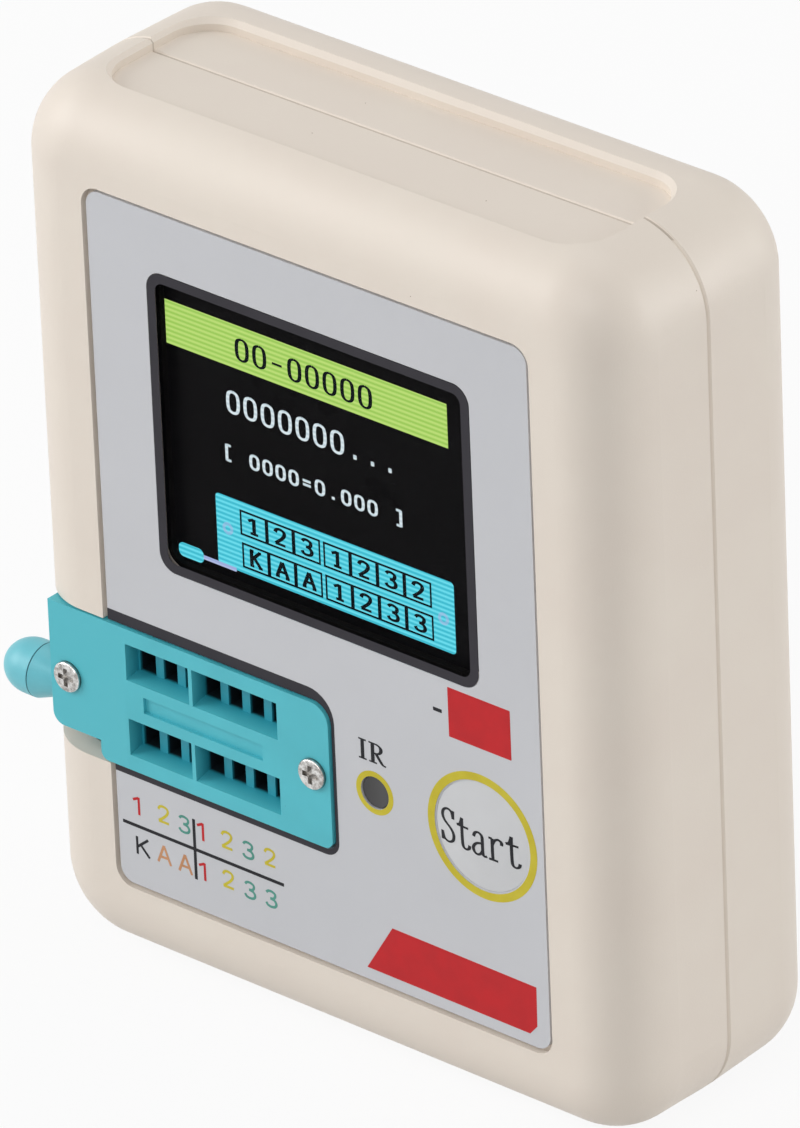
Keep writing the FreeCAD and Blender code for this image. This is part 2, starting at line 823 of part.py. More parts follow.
def make_socket_contacts():
    """Fourteen forked spring contacts, each with a solder pin through the board."""
    forks = []
    tip = cover_back - contact_tip_below_cover
    root = base_back - base_floor
    for x in slot_places:
        for z in slot_rows:
            half = contact_width / 2
            outer = contact_leaf_gap / 2 + contact_leaf
            leaf_left = block(x - outer, x - outer + contact_leaf, tip, root, z - half, z + half)
            leaf_right = block(x + outer - contact_leaf, x + outer, tip, root, z - half, z + half)
            bridge = block(x - outer, x + outer, root - contact_leaf, root, z - half, z + half)
            pin_half = contact_pin / 2
            tail = board_back_y + contact_tail
            pin = block(x - pin_half, x + pin_half, root, tail, z - pin_half, z + pin_half)
            forks.append(leaf_left.fuse([leaf_right, bridge, pin]))
    return Part.makeCompound(forks)


def make_socket_lever():
    """Bent steel rod: an eccentric cross shaft in the socket and an arm to the knob."""
    shaft = rod_z(lever_axis_x, lever_y, lever_rod, arm_z, cam_high + base_wall / 2 - lever_bore_clearance)
    low = cam_low + cam_clearance
    high = cam_high - cam_clearance
    cam = rod_z(lever_axis_x, lever_y - cam_throw, cam_diameter, low, high)
    hub = rod_z(lever_axis_x, lever_y, cam_diameter, low, high)
    bend = Vector(lever_axis_x, lever_y, arm_z)
    elbow = Part.makeSphere(lever_rod / 2, bend)
    arm_length = lever_reach - knob_length + knob_socket_depth
    arm = Part.makeCylinder(lever_rod / 2, arm_length, bend, Vector(-1, 0, 0))
    return shaft.fuse([cam, hub, elbow, arm]).removeSplitter()


def make_lever_knob():
    """Egg-shaped knob pushed on to the end of the lever."""
    tip = lever_axis_x - lever_reach
    root = tip + knob_length
    widest = tip + knob_dome
    seam = tip + knob_seam
    radius = knob_diameter / 2
    dome = Part.ArcOfEllipse(Part.Ellipse(Vector(widest, 0, 0), knob_dome, radius), math.pi / 2, math.pi)
    corners = [Vector(tip, 0, 0), Vector(root, 0, 0), Vector(root, knob_neck / 2, 0),
               Vector(seam + knob_seam_groove / 2, radius, 0), Vector(seam, radius - knob_seam_groove, 0),
               Vector(seam - knob_seam_groove / 2, radius, 0), Vector(widest, radius, 0)]
    edges = [dome.toShape()]
    for start, end in zip(corners[:-1], corners[1:]):
        edges.append(Part.makeLine(start, end))
    knob = Part.Face(Part.Wire(edges)).revolve(Vector(0, 0, 0), Vector(1, 0, 0), 360)
    knob.translate(Vector(0, lever_y, arm_z))
    hole_radius = lever_rod / 2 + knob_socket_clearance
    mouth = Vector(root + past, lever_y, arm_z)
    hole = Part.makeCylinder(hole_radius, knob_socket_depth + past, mouth, Vector(-1, 0, 0))
    return knob.cut(hole)


def make_battery_cell():
    near = battery_front_y
    cell = slab(battery_width, battery_height, battery_corner, near, battery_back_y, 0.0, battery_centre)
    ends = edges_at_depth(cell, near) + edges_at_depth(cell, battery_back_y)
    return cell.makeFillet(battery_edge, ends)


def make_battery_tape():
    width = battery_width - 2 * battery_tape_inset
    height = battery_height - 2 * battery_tape_inset
    return slab(width, height, battery_corner, battery_back_y, back_floor_y, 0.0, battery_centre)


def make_battery_leads():
    """Two short leads from the lower end of the cell to the back of the board."""
    leads = []
    cell_y = (battery_front_y + battery_back_y) / 2
    low = battery_centre - battery_height / 2
    bend_z = low - 2 * lead_bend
    for x in (-lead_spacing / 2, lead_spacing / 2):
        start = Vector(x, cell_y, low)
        turn_in = Vector(x, cell_y, bend_z + lead_bend)
        bow = lead_bend * (1 - math.sqrt(0.5))
        turn_mid = Vector(x, cell_y - bow, bend_z + bow)
        turn_out = Vector(x, cell_y - lead_bend, bend_z)
        end = Vector(x, board_back_y, bend_z)
        path = Part.Wire([Part.makeLine(start, turn_in), Part.Arc(turn_in, turn_mid, turn_out).toShape(),
                          Part.makeLine(turn_out, end)])
        ring = Part.Wire(Part.makeCircle(lead_diameter / 2, start, Vector(0, 0, -1)))
        leads.append(path.makePipeShell([ring], True, False))
    return Part.makeCompound(leads)


def screw(x, z, seat_y, head_diameter, head_height, shank_diameter, length):
    """Pan-head screw driven forward from the back; seat_y is under its head."""
    top = seat_y + head_height
    head = rod_y(x, z, head_diameter, seat_y, top)
    head = head.makeFillet(head_height * head_rounding_share, edges_at_depth(head, top))
    shank = rod_y(x, z, shank_diameter, seat_y - length, seat_y)
    return head.fuse(shank).cut(cross_recess(x, z, top, head_diameter * cross_recess_share,
                                            -cross_recess_depth))


def make_case_screws():
    seat = front_y + case_screw_seat
    screws = []
    for x, z in case_screw_places():
        screws.append(screw(x, z, seat, case_screw_head, case_screw_head_height, case_screw_diameter,
                            case_screw_length))
    return Part.makeCompound(screws)


def make_board_screws():
    screws = []
    for x, z in board_screw_places():
        screws.append(screw(x, z, board_back_y, board_screw_head, board_screw_head_height,
                            board_screw_diameter, board_screw_length))
    return Part.makeCompound(screws)


pieces = {
    "front_shell": make_front_shell,
    "rear_shell": make_rear_shell,
    "front_overlay": make_front_overlay,
    "screen_window": make_screen_window,
    "screen_gasket": make_screen_gasket,
    "lcd_panel": make_lcd_panel,
    "lcd_backlight": make_lcd_backlight,
    "screen_foam": make_screen_foam,
    "screen_ribbon": make_screen_ribbon,
    "main_board": make_main_board,
    "microcontroller": make_microcontroller,
    "board_components": make_board_components,
    "usb_socket": make_usb_socket,
    "tact_switch": make_tact_switch,
    "switch_plunger": make_switch_plunger,
    "start_button": make_start_button,
    "ir_receiver": make_ir_receiver,
    "socket_base": make_socket_base,
    "socket_slider": make_socket_slider,
    "socket_contacts": make_socket_contacts,
    "socket_cover": make_socket_cover,
    "socket_cover_screws": make_socket_cover_screws,
    "socket_lever": make_socket_lever,
    "lever_knob": make_lever_knob,
    "battery_cell": make_battery_cell,
    "battery_tape": make_battery_tape,
    "battery_leads": make_battery_leads,
    "case_screws": make_case_screws,
    "board_screws": make_board_screws,
}

# Middle of the whole object, from the tip of the lever knob to the far side of the case
# and from the heads of the socket's screws to the back
whole_left = lever_axis_x - lever_reach
whole_right = case_width / 2
whole_front = cover_y - cover_screw_head_height
frame_shift = Vector(-(whole_left + whole_right) / 2, -(whole_front + back_y) / 2, 0)

os.makedirs("parts", exist_ok=True)
for name, make in pieces.items():
    shape = make()
    shape.translate(frame_shift)
    shape.exportStep("parts/" + name + ".step")
    print(name, len(shape.Solids), round(shape.Volume, 2), shape.isValid())
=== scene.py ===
import math

import bmesh
import bpy
from mathutils import Matrix, Vector


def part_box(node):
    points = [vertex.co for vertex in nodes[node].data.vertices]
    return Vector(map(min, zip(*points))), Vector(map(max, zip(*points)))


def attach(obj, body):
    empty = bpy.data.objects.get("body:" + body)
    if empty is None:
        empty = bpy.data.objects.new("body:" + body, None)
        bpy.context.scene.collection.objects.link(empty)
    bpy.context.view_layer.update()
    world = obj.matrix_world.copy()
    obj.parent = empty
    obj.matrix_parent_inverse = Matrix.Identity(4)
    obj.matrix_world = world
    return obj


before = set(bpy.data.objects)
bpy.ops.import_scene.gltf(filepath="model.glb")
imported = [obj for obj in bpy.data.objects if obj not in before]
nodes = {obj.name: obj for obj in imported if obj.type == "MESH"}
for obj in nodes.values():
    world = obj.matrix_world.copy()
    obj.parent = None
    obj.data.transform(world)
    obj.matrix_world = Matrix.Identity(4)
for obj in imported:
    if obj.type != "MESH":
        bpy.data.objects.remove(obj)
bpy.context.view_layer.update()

# Case halves
# Two shells moulded in cream ABS, with a fine spark-eroded skin and a few dark specks in the
# resin. The rear one is drawn against the front one by four screws, which leaves a fine seam.
mm = 0.001


def linear(red, green, blue):
    """A colour of 0 to 255, as seen on a screen, in the linear values that a shader takes."""

    def channel(value):
        value = value / 255
        return value / 12.92 if value <= 0.04045 else ((value + 0.055) / 1.055) ** 2.4

    return (channel(red), channel(green), channel(blue), 1.0)


def surface(name, light, dark, roughness, mottle, grain, relief, metallic=0.0, specular=0.5):
    """Finish of one material: mottled colour, uneven gloss and a fine grain.

    mottle and grain are the sizes of their patches, and relief is the height of the grain.
    """
    material = bpy.data.materials.new(name)
    material.use_nodes = True
    tree = material.node_tree
    shader = tree.nodes["Principled BSDF"]
    shader.inputs["Metallic"].default_value = metallic
    shader.inputs["Specular IOR Level"].default_value = specular
    place = tree.nodes.new("ShaderNodeTexCoord")
    patches = tree.nodes.new("ShaderNodeTexNoise")
    patches.inputs["Scale"].default_value = 1 / mottle
    patches.inputs["Detail"].default_value = 5
    tree.links.new(place.outputs["Object"], patches.inputs["Vector"])
    tint = tree.nodes.new("ShaderNodeValToRGB")
    tint.color_ramp.elements[0].position = 0.35
    tint.color_ramp.elements[0].color = dark
    tint.color_ramp.elements[1].position = 0.65
    tint.color_ramp.elements[1].color = light
    tree.links.new(patches.outputs["Fac"], tint.inputs["Fac"])
    tree.links.new(tint.outputs["Color"], shader.inputs["Base Color"])
    gloss = tree.nodes.new("ShaderNodeMapRange")
    gloss.inputs["From Min"].default_value = 0.3
    gloss.inputs["From Max"].default_value = 0.7
    gloss.inputs["To Min"].default_value = roughness * 0.85
    gloss.inputs["To Max"].default_value = roughness * 1.15
    tree.links.new(patches.outputs["Fac"], gloss.inputs["Value"])
    tree.links.new(gloss.outputs["Result"], shader.inputs["Roughness"])
    skin = tree.nodes.new("ShaderNodeTexNoise")
    skin.inputs["Scale"].default_value = 1 / grain
    skin.inputs["Detail"].default_value = 3
    tree.links.new(place.outputs["Object"], skin.inputs["Vector"])
    bump = tree.nodes.new("ShaderNodeBump")
    bump.inputs["Distance"].default_value = relief
    tree.links.new(skin.outputs["Fac"], bump.inputs["Height"])
    tree.links.new(bump.outputs["Normal"], shader.inputs["Normal"])
    return material


def math_node(tree, operation, first, second):
    """Output of a node that works on two sockets, or on a socket and a number."""
    node = tree.nodes.new("ShaderNodeMath")
    node.operation = operation
    tree.links.new(first, node.inputs[0])
    if isinstance(second, float):
        node.inputs[1].default_value = second
    else:
        tree.links.new(second, node.inputs[1])
    return node.outputs["Value"]


def lay_over(material, share, colour):
    """Lays a colour over the finish, as far as the socket share says at each place."""
    tree = material.node_tree
    base = tree.nodes["Principled BSDF"].inputs["Base Color"]
    blend = tree.nodes.new("ShaderNodeMix")
    blend.data_type = "RGBA"
    blend.inputs["B"].default_value = colour
    tree.links.new(share, blend.inputs["Factor"])
    tree.links.new(base.links[0].from_socket, blend.inputs["A"])
    tree.links.new(blend.outputs["Result"], base)


def spot(material, colour, size, share):
    """Marks the finish with small spots of another colour; share is the part of cells that get one."""
    tree = material.node_tree
    place = tree.nodes.new("ShaderNodeTexCoord")
    cells = tree.nodes.new("ShaderNodeTexVoronoi")
    cell_width = 12  # in widths of a spot
    cells.inputs["Scale"].default_value = 1 / (size * cell_width)
    tree.links.new(place.outputs["Object"], cells.inputs["Vector"])
    pick = tree.nodes.new("ShaderNodeSeparateColor")
    tree.links.new(cells.outputs["Color"], pick.inputs["Color"])
    near = math_node(tree, "LESS_THAN", cells.outputs["Distance"], 0.5 / cell_width)
    chosen = math_node(tree, "LESS_THAN", pick.outputs["Red"], share)
    lay_over(material, math_node(tree, "MULTIPLY", near, chosen), colour)


def line_across(material, axis, place, width, colour, above=-1.0):
    """Marks the finish with a thin line at one place along an axis, from a height upwards."""
    tree = material.node_tree
    where = tree.nodes.new("ShaderNodeTexCoord")
    axes = tree.nodes.new("ShaderNodeSeparateXYZ")
    tree.links.new(where.outputs["Object"], axes.inputs["Vector"])
    near = tree.nodes.new("ShaderNodeMath")
    near.operation = "COMPARE"
    near.inputs[1].default_value = place
    near.inputs[2].default_value = width / 2
    tree.links.new(axes.outputs[axis], near.inputs[0])
    high = math_node(tree, "GREATER_THAN", axes.outputs["Z"], above)
    lay_over(material, math_node(tree, "MULTIPLY", near.outputs["Value"], high), colour)


def dress(material, *names):
    """Gives the material to solids of the frame."""
    for name in names:
        nodes[name].data.materials.clear()
        nodes[name].data.materials.append(material)


case_low, case_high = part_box("front_shell")
case_x = (case_low.x + case_high.x) / 2
case_plastic = surface("case_plastic", linear(231, 221, 209), linear(229, 218, 206), 0.5,
                       9 * mm, 0.16 * mm, 0.008 * mm)
spot(case_plastic, linear(150, 128, 104), size=0.13 * mm, share=0.03)
seam_y = case_high.y
line_across(case_plastic, "Y", seam_y, 0.13 * mm, linear(228, 218, 205))
# In the recess of the upper end the seam is darker: painted shade of the gap between the halves.
recess_y = seam_y + 0.05 * mm
recess_z = case_high.z - 1.4 * mm
line_across(case_plastic, "Y", recess_y, 0.16 * mm, linear(194, 183, 170), above=recess_z)
dress(case_plastic, "front_shell", "rear_shell")

# Screws of the case and of the board
# Nickel-plated steel with rolled threads and a cross recess pressed into a pan head. The case
# screws are sunk in the back, and the board screws hold the board to the front half.
screw_steel = surface("screw_steel", linear(214, 213, 210), linear(178, 176, 172), 0.26,
                      0.7 * mm, 0.09 * mm, 0.012 * mm, metallic=1.0)
dress(screw_steel, "case_screws", "board_screws")

# Circuit board
# Glass-filled laminate under a green solder mask, with the copper showing as a faint relief.
# It lies on the front half's bosses and carries every electrical piece.
board_laminate = surface("board_laminate", linear(34, 112, 60), linear(24, 90, 48), 0.34,
                         3 * mm, 0.5 * mm, 0.02 * mm)
dress(board_laminate, "main_board")

# Board parts
# Black resin chips, plated cans and a folded steel charging socket, all soldered to the back
# of the board, with a small push switch on its front.
chip_resin = surface("chip_resin", linear(44, 44, 46), linear(32, 32, 34), 0.55,
                     1.2 * mm, 0.12 * mm, 0.01 * mm)
dress(chip_resin, "microcontroller", "tact_switch")
component_can = surface("component_can", linear(206, 206, 204), linear(176, 176, 176), 0.3,
                        1.5 * mm, 0.2 * mm, 0.006 * mm, metallic=1.0)
dress(component_can, "board_components")
folded_steel = surface("folded_steel", linear(208, 207, 204), linear(182, 181, 178), 0.28,
                       1.8 * mm, 0.15 * mm, 0.006 * mm, metallic=1.0)
dress(folded_steel, "usb_socket")
plunger_plastic = surface("plunger_plastic", linear(52, 50, 50), linear(40, 38, 38), 0.5,
                          1.0 * mm, 0.1 * mm, 0.006 * mm)
dress(plunger_plastic, "switch_plunger")

# Battery
# A pouch cell in silvery laminate, held to the back wall by foam tape, with two insulated leads
# down to the board.
cell_pouch = surface("cell_pouch", linear(196, 198, 202), linear(168, 170, 176), 0.36,
                     5 * mm, 0.8 * mm, 0.04 * mm, metallic=0.8)
dress(cell_pouch, "battery_cell")
tape_foam = surface("tape_foam", linear(232, 230, 220), linear(216, 213, 202), 0.8,
                    2 * mm, 0.3 * mm, 0.05 * mm)
dress(tape_foam, "battery_tape")
lead_cover = surface("lead_cover", linear(176, 40, 36), linear(150, 30, 28), 0.45,
                     1 * mm, 0.2 * mm, 0.01 * mm)
dress(lead_cover, "battery_leads")

# Display unit
# A small colour display: glass on a white backlight tray, pressed forward by two foam strips,
# sealed to the window by a black foam ring and joined to the board by an amber ribbon.
display_glass = surface("display_glass", linear(14, 13, 14), linear(11, 10, 11), 0.3,
                        6 * mm, 0.4 * mm, 0.002 * mm, specular=0.02)
dress(display_glass, "lcd_panel")
tray_plastic = surface("tray_plastic", linear(238, 238, 236), linear(226, 226, 224), 0.5,
                       4 * mm, 0.2 * mm, 0.01 * mm)
dress(tray_plastic, "lcd_backlight")
black_foam = surface("black_foam", linear(22, 21, 20), linear(15, 14, 14), 0.95,
                     0.6 * mm, 0.2 * mm, 0.03 * mm, specular=0.02)
dress(black_foam, "screen_gasket", "screen_foam")
ribbon_film = surface("ribbon_film", linear(196, 132, 52), linear(170, 108, 36), 0.3,
                      2 * mm, 0.3 * mm, 0.008 * mm)
dress(ribbon_film, "screen_ribbon")

# Picture on the display
# Lit dots on the front of the glass: a lime bar, two pale lines of figures, a small probe sign
# and a cyan panel with two rows of numbered cells. The rows of dots show as fine stripes.
panel_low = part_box("lcd_panel")[0]
panel_margin = 3.0 * mm
picture_left = panel_low.x + panel_margin
picture_base = panel_low.z + panel_margin
picture_skin = 0.012 * mm
picture_y = panel_low.y - picture_skin
figure_y = picture_y - picture_skin
dot_row = 0.47 * mm
crisp_corner = 0.05 * mm


def lit(name, colour, dim, strength):
    """Finish of lit dots, striped along their rows."""
    material = surface(name, linear(10, 10, 10), linear(8, 8, 8), 0.3, 2 * mm, 0.3 * mm, 0.002 * mm,
                       specular=0.02)
    tree = material.node_tree
    shader = tree.nodes["Principled BSDF"]
    place = tree.nodes.new("ShaderNodeTexCoord")
    rows = tree.nodes.new("ShaderNodeTexWave")
    rows.bands_direction = "Z"
    rows.inputs["Scale"].default_value = math.pi / (10 * dot_row)  # at scale 1 a band is pi / 10 wide
    tree.links.new(place.outputs["Object"], rows.inputs["Vector"])
    glow = tree.nodes.new("ShaderNodeValToRGB")
    glow.color_ramp.elements[0].color = dim
    glow.color_ramp.elements[1].color = colour
    tree.links.new(rows.outputs["Fac"], glow.inputs["Fac"])
    tree.links.new(glow.outputs["Color"], shader.inputs["Emission Color"])
    shader.inputs["Emission Strength"].default_value = strength
    return material


def add_piece(name, points, faces, material, body):
    """Piece from bare points and faces, facing outwards, on a body of the frame."""
    mesh = bpy.data.meshes.new(name)
    mesh.from_pydata(points, [], faces)
    solid = bmesh.new()
    solid.from_mesh(mesh)
    bmesh.ops.recalc_face_normals(solid, faces=solid.faces)
    solid.to_mesh(mesh)
    solid.free()
    mesh.materials.append(material)
    piece = bpy.data.objects.new(name, mesh)
    bpy.context.scene.collection.objects.link(piece)
    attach(piece, body)
    return piece


def arc(x, z, radius, start, end, steps=8):
    """Points on part of a circle in the plane of the front, from one angle to another."""
    angles = [math.radians(start + (end - start) * step / steps) for step in range(steps + 1)]
    return [(x + radius * math.cos(angle), z + radius * math.sin(angle)) for angle in angles]


def rounded(left, right, low, high, radius):
    """Outline of a rectangle with round corners."""
    return (arc(right - radius, low + radius, radius, -90, 0)
            + arc(right - radius, high - radius, radius, 0, 90)
            + arc(left + radius, high - radius, radius, 90, 180)
            + arc(left + radius, low + radius, radius, 180, 270))


def sheet(name, outer, inner, front, back, material, body="case"):
    """Thin flat piece between two depths, with a hole where an inner outline is given."""
    count = len(outer)
    loops = [outer] if inner is None else [outer, inner]
    points = [(x, y, z) for y in (front, back) for loop in loops for x, z in loop]
    far = count * len(loops)
    faces = []
    for index in range(count):
        following = (index + 1) % count
        faces.append((index, following, far + following, far + index))
        if inner is not None:
            a, b = count + index, count + following
            faces.append((a, far + a, far + b, b))
            faces.append((index, following, b, a))
            faces.append((far + index, far + a, far + b, far + following))
    if inner is None:
        faces.append(tuple(range(count)))
        faces.append(tuple(reversed(range(far, far + count))))
    return add_piece(name, points, faces, material, body)


def curved(points, steps=6):
    """Points on a smooth line through the given ones; two points stay a straight line."""
    if len(points) == 2:
        (ax, az), (bx, bz) = points
        return [(ax + (bx - ax) * step / steps, az + (bz - az) * step / steps)
                for step in range(steps + 1)]
    ends = [points[0]] + list(points) + [points[-1]]
    line = []
    for p, q, r, s in zip(ends, ends[1:], ends[2:], ends[3:]):
        for step in range(steps):
            t = step / steps
            line.append(tuple(0.5 * (2 * q[k] + (r[k] - p[k]) * t
                                     + (2 * p[k] - 5 * q[k] + 4 * r[k] - s[k]) * t * t
                                     + (3 * q[k] - p[k] - 3 * r[k] + s[k]) * t ** 3) for k in (0, 1)))
    line.append(points[-1])
    return line


def pen(name, strokes, stem, bar, front, back, material, body="case"):
    """Strokes of a broad pen as one thin piece.

    stem is the width of an upright stroke, and bar that of a level one. Each stroke that crosses
    the one before it lies a hair in front of it.
    """
    points, faces = [], []
    hair = 0.003 * mm
    for number, stroke in enumerate(strokes):
        line = curved(stroke)
        face_y = front - number % 4 * hair
        edges = ([], [])
        for index, (x, z) in enumerate(line):
            before = line[max(index - 1, 0)]
            after = line[min(index + 1, len(line) - 1)]
            run = math.hypot(after[0] - before[0], after[1] - before[1])
            side_x = -(after[1] - before[1]) / run * stem / 2
            side_z = (after[0] - before[0]) / run * bar / 2
            edges[0].append((x + side_x, z + side_z))
            edges[1].append((x - side_x, z - side_z))
        start, count = len(points), len(line)
        points += [(x, y, z) for y in (face_y, back) for edge in edges for x, z in edge]
        rows = [start, start + count, start + 3 * count, start + 2 * count]
        for index in range(count - 1):
            for row, following in zip(rows, rows[1:] + rows[:1]):
                faces.append((row + index, row + index + 1, following + index + 1, following + index))
        faces.append(tuple(rows))
        faces.append(tuple(row + count - 1 for row in reversed(rows)))
    return add_piece(name, points, faces, material, body)


def placed(strokes, left, base, width, height):
    """Letter strokes drawn in a unit box, put in their place."""
    return [[(left + x * width, base + z * height) for x, z in stroke] for stroke in strokes]


glyphs = {
    "0": [[(0.5, 1.0), (0.2, 0.92), (0.08, 0.7), (0.08, 0.3), (0.2, 0.08), (0.5, 0.0), (0.8, 0.08),
           (0.92, 0.3), (0.92, 0.7), (0.8, 0.92), (0.5, 1.0)]],
    "1": [[(0.55, 0.0), (0.55, 1.0)], [(0.06, 0.78), (0.54, 0.96)]],
    "2": [[(0.08, 0.74), (0.2, 0.93), (0.48, 1.0), (0.8, 0.92), (0.88, 0.72), (0.7, 0.46), (0.36, 0.2),
           (0.08, 0.02)], [(0.06, 0.0), (0.94, 0.0)]],
    "3": [[(0.1, 0.84), (0.26, 0.97), (0.52, 1.0), (0.8, 0.91), (0.84, 0.74), (0.7, 0.58), (0.42, 0.53)],
          [(0.42, 0.53), (0.76, 0.47), (0.92, 0.27), (0.8, 0.07), (0.48, 0.0), (0.2, 0.05), (0.06, 0.2)]],
    "A": [[(0.02, 0.0), (0.5, 1.0)], [(0.5, 1.0), (0.98, 0.0)], [(0.2, 0.34), (0.8, 0.34)]],
    "K": [[(0.14, 0.0), (0.14, 1.0)], [(0.14, 0.4), (0.86, 1.0)], [(0.36, 0.58), (0.92, 0.0)]],
    "-": [[(0.1, 0.45), (0.9, 0.45)]],
    "=": [[(0.05, 0.62), (0.95, 0.62)], [(0.05, 0.32), (0.95, 0.32)]],
    ".": [[(0.5, 0.0), (0.5, 0.2)]],
    "[": [[(0.3, -0.1), (0.3, 1.1)], [(0.3, 1.05), (0.8, 1.05)], [(0.3, -0.05), (0.8, -0.05)]],
    "]": [[(0.7, -0.1), (0.7, 1.1)], [(0.2, 1.05), (0.7, 1.05)], [(0.2, -0.05), (0.7, -0.05)]],
    " ": []}
feet = {"1": [[(0.22, 0.0), (0.88, 0.0)]], "A": [[(-0.1, 0.0), (0.24, 0.0)], [(0.76, 0.0), (1.1, 0.0)]],
        "K": [[(0.0, 0.0), (0.34, 0.0)], [(0.0, 1.0), (0.34, 1.0)], [(0.72, 1.0), (1.0, 1.0)],
              [(0.74, 0.0), (1.08, 0.0)]]}


def row_of(characters, centre_x, centre_z, pitch, width, height, footed=False):
    """Strokes of a row of characters at an even pitch."""
    strokes = []
    for index, character in enumerate(characters):
        left = centre_x + (index - (len(characters) - 1) / 2) * pitch - width / 2
        shapes = glyphs[character] + (feet.get(character, []) if footed else [])
        strokes += placed(shapes, left, centre_z - height / 2, width, height)
    return strokes


lime_dots = lit("lime_dots", linear(196, 230, 124), linear(158, 206, 92), 1.0)
cyan_dots = lit("cyan_dots", linear(112, 230, 246), linear(58, 190, 212), 1.0)
violet_dots = lit("violet_dots", linear(186, 196, 236), linear(160, 176, 224), 1.0)
pale_dots = lit("pale_dots", linear(158, 206, 236), linear(128, 190, 226), 1.0)
white_dots = lit("white_dots", linear(228, 240, 244), linear(200, 218, 226), 1.0)
dark_dots = lit("dark_dots", linear(12, 26, 32), linear(8, 18, 24), 0.6)
bar_left = picture_left - 0.3 * mm
bar_right = picture_left + 32.3 * mm
bar_low = picture_base + 21.4 * mm
bar_high = picture_base + 25.75 * mm
sheet("screen_bar", rounded(bar_left, bar_right, bar_low, bar_high, crisp_corner), None,
      picture_y, panel_low.y, lime_dots)
bar_middle = (bar_low + bar_high) / 2 - 0.15 * mm
bar_line = row_of("00-00000", picture_left + 15.9 * mm, bar_middle, 2.02 * mm, 1.4 * mm, 2.1 * mm)
pen("screen_bar_figures", bar_line, 0.4 * mm, 0.22 * mm, figure_y, picture_y, dark_dots)
lines_x = picture_left + 16.5 * mm
first_line = row_of("0000000...", lines_x, picture_base + 17.85 * mm, 2.0 * mm, 1.4 * mm, 2.1 * mm)
pen("screen_figures_large", first_line, 0.36 * mm, 0.26 * mm, picture_y, panel_low.y, white_dots)
second_line = row_of("[ 0000=0.000 ]", lines_x, picture_base + 12.6 * mm, 1.51 * mm, 1.0 * mm, 1.35 * mm)
pen("screen_figures_small", second_line, 0.32 * mm, 0.24 * mm, picture_y, panel_low.y, white_dots)
field_left = picture_left + 4.9 * mm
field_low = picture_base + 1.0 * mm
field_high = picture_base + 8.15 * mm
sheet("screen_field", rounded(field_left, bar_right, field_low, field_high, 0.4 * mm), None,
      picture_y, panel_low.y, cyan_dots)
probe_left = picture_left + 0.25 * mm
probe_right = picture_left + 3.15 * mm
probe_low = picture_base + 0.3 * mm
probe_high = picture_base + 1.7 * mm
sheet("screen_probe", rounded(probe_left, probe_right, probe_low, probe_high, 0.55 * mm), None,
      picture_y, panel_low.y, cyan_dots)
lead_right = picture_left + 7.0 * mm
lead_low = picture_base + 0.82 * mm
lead_high = lead_low + 0.4 * mm
sheet("screen_probe_lead", rounded(probe_right, lead_right, lead_low, lead_high, crisp_corner), None,
      figure_y, panel_low.y, violet_dots)
for side, x, z in (("left", 6.2, 4.9), ("right", 31.0, 4.2)):
    mark_x, mark_z = picture_left + x * mm, picture_base + z * mm
    rim, hole = (arc(mark_x, mark_z, radius, 0, 360, 24)[:-1] for radius in (0.62 * mm, 0.3 * mm))
    sheet("screen_mark_" + side, rim, hole, figure_y, picture_y, pale_dots)

cell_tree = bpy.data.node_groups.new("screen_cells", "GeometryNodeTree")
cell_inputs = {}
for title, kind in (("Cells", "NodeSocketInt"), ("Pitch", "NodeSocketFloat"), ("Width", "NodeSocketFloat"),
                    ("Height", "NodeSocketFloat"), ("Line", "NodeSocketFloat"), ("Skin", "NodeSocketFloat"),
                    ("Dots", "NodeSocketMaterial")):
    socket = cell_tree.interface.new_socket(title, in_out="INPUT", socket_type=kind)
    cell_inputs[title] = socket.identifier
cell_tree.interface.new_socket("Geometry", in_out="OUTPUT", socket_type="NodeSocketGeometry")
cell_in = cell_tree.nodes.new("NodeGroupInput")
cell_out = cell_tree.nodes.new("NodeGroupOutput")
cell_step = cell_tree.nodes.new("ShaderNodeCombineXYZ")
cell_tree.links.new(cell_in.outputs["Pitch"], cell_step.inputs["X"])
cell_row = cell_tree.nodes.new("GeometryNodeMeshLine")
cell_tree.links.new(cell_in.outputs["Cells"], cell_row.inputs["Count"])
cell_tree.links.new(cell_step.outputs["Vector"], cell_row.inputs["Offset"])
cell_frame = cell_tree.nodes.new("GeometryNodeCurvePrimitiveQuadrilateral")
cell_tree.links.new(cell_in.outputs["Width"], cell_frame.inputs["Width"])
cell_tree.links.new(cell_in.outputs["Height"], cell_frame.inputs["Height"])
cell_bar = cell_tree.nodes.new("GeometryNodeCurvePrimitiveQuadrilateral")
cell_tree.links.new(cell_in.outputs["Line"], cell_bar.inputs["Width"])
cell_tree.links.new(cell_in.outputs["Skin"], cell_bar.inputs["Height"])
cell_sweep = cell_tree.nodes.new("GeometryNodeCurveToMesh")
cell_tree.links.new(cell_frame.outputs["Curve"], cell_sweep.inputs["Curve"])
cell_tree.links.new(cell_bar.outputs["Curve"], cell_sweep.inputs["Profile Curve"])
cell_copies = cell_tree.nodes.new("GeometryNodeInstanceOnPoints")
cell_tree.links.new(cell_row.outputs["Mesh"], cell_copies.inputs["Points"])
cell_tree.links.new(cell_sweep.outputs["Mesh"], cell_copies.inputs["Instance"])
cell_real = cell_tree.nodes.new("GeometryNodeRealizeInstances")
cell_tree.links.new(cell_copies.outputs["Instances"], cell_real.inputs["Geometry"])
cell_paint = cell_tree.nodes.new("GeometryNodeSetMaterial")
cell_tree.links.new(cell_real.outputs["Geometry"], cell_paint.inputs["Geometry"])
cell_tree.links.new(cell_in.outputs["Dots"], cell_paint.inputs["Material"])
cell_tree.links.new(cell_paint.outputs["Geometry"], cell_out.inputs["Geometry"])

cell_pitch = 3.1 * mm
cell_height = 2.52 * mm
cell_line = 0.2 * mm
